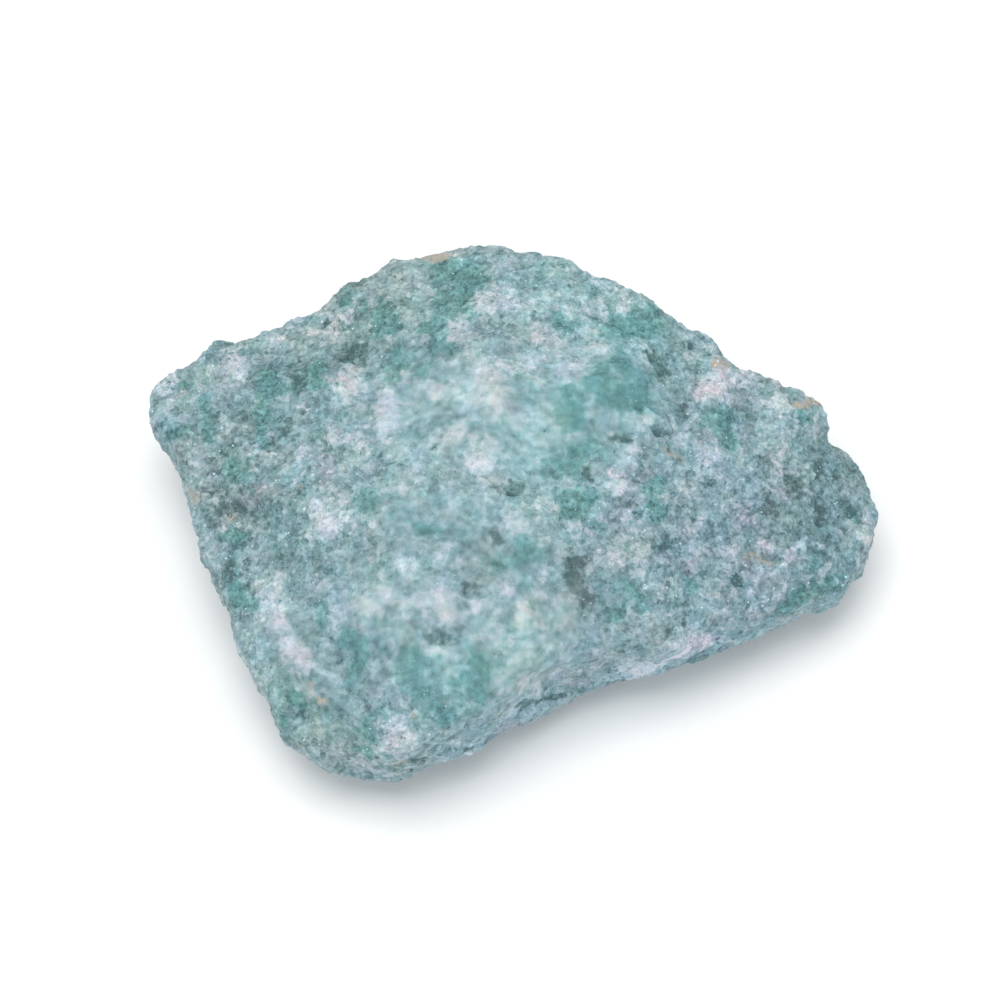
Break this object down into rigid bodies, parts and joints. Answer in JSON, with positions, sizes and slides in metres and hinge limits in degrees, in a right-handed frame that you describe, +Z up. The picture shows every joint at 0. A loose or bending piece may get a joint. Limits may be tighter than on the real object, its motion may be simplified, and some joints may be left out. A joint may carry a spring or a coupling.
{
  "type": "rough green aventurine",
  "caption": "Loose broken piece of rough green aventurine: a low, blunt-edged chunk of granular quartz rock with a broad raised middle, resting on a flat spot underneath.",
  "frame": {"origin": "middle of the stone's box, on the surface it rests on", "axes": "+X along the stone's longest way, +Z up from the flat spot it rests on, -Y towards the side that the picture was taken from"},
  "size_m": [0.0424, 0.0318, 0.013],
  "materials": {
    "stone": "rough broken granular quartz, pale blue-green, with small mica glints"
  },
  "bodies": {
    "root": {"stone": "stone"}
  },
  "joints": []
}
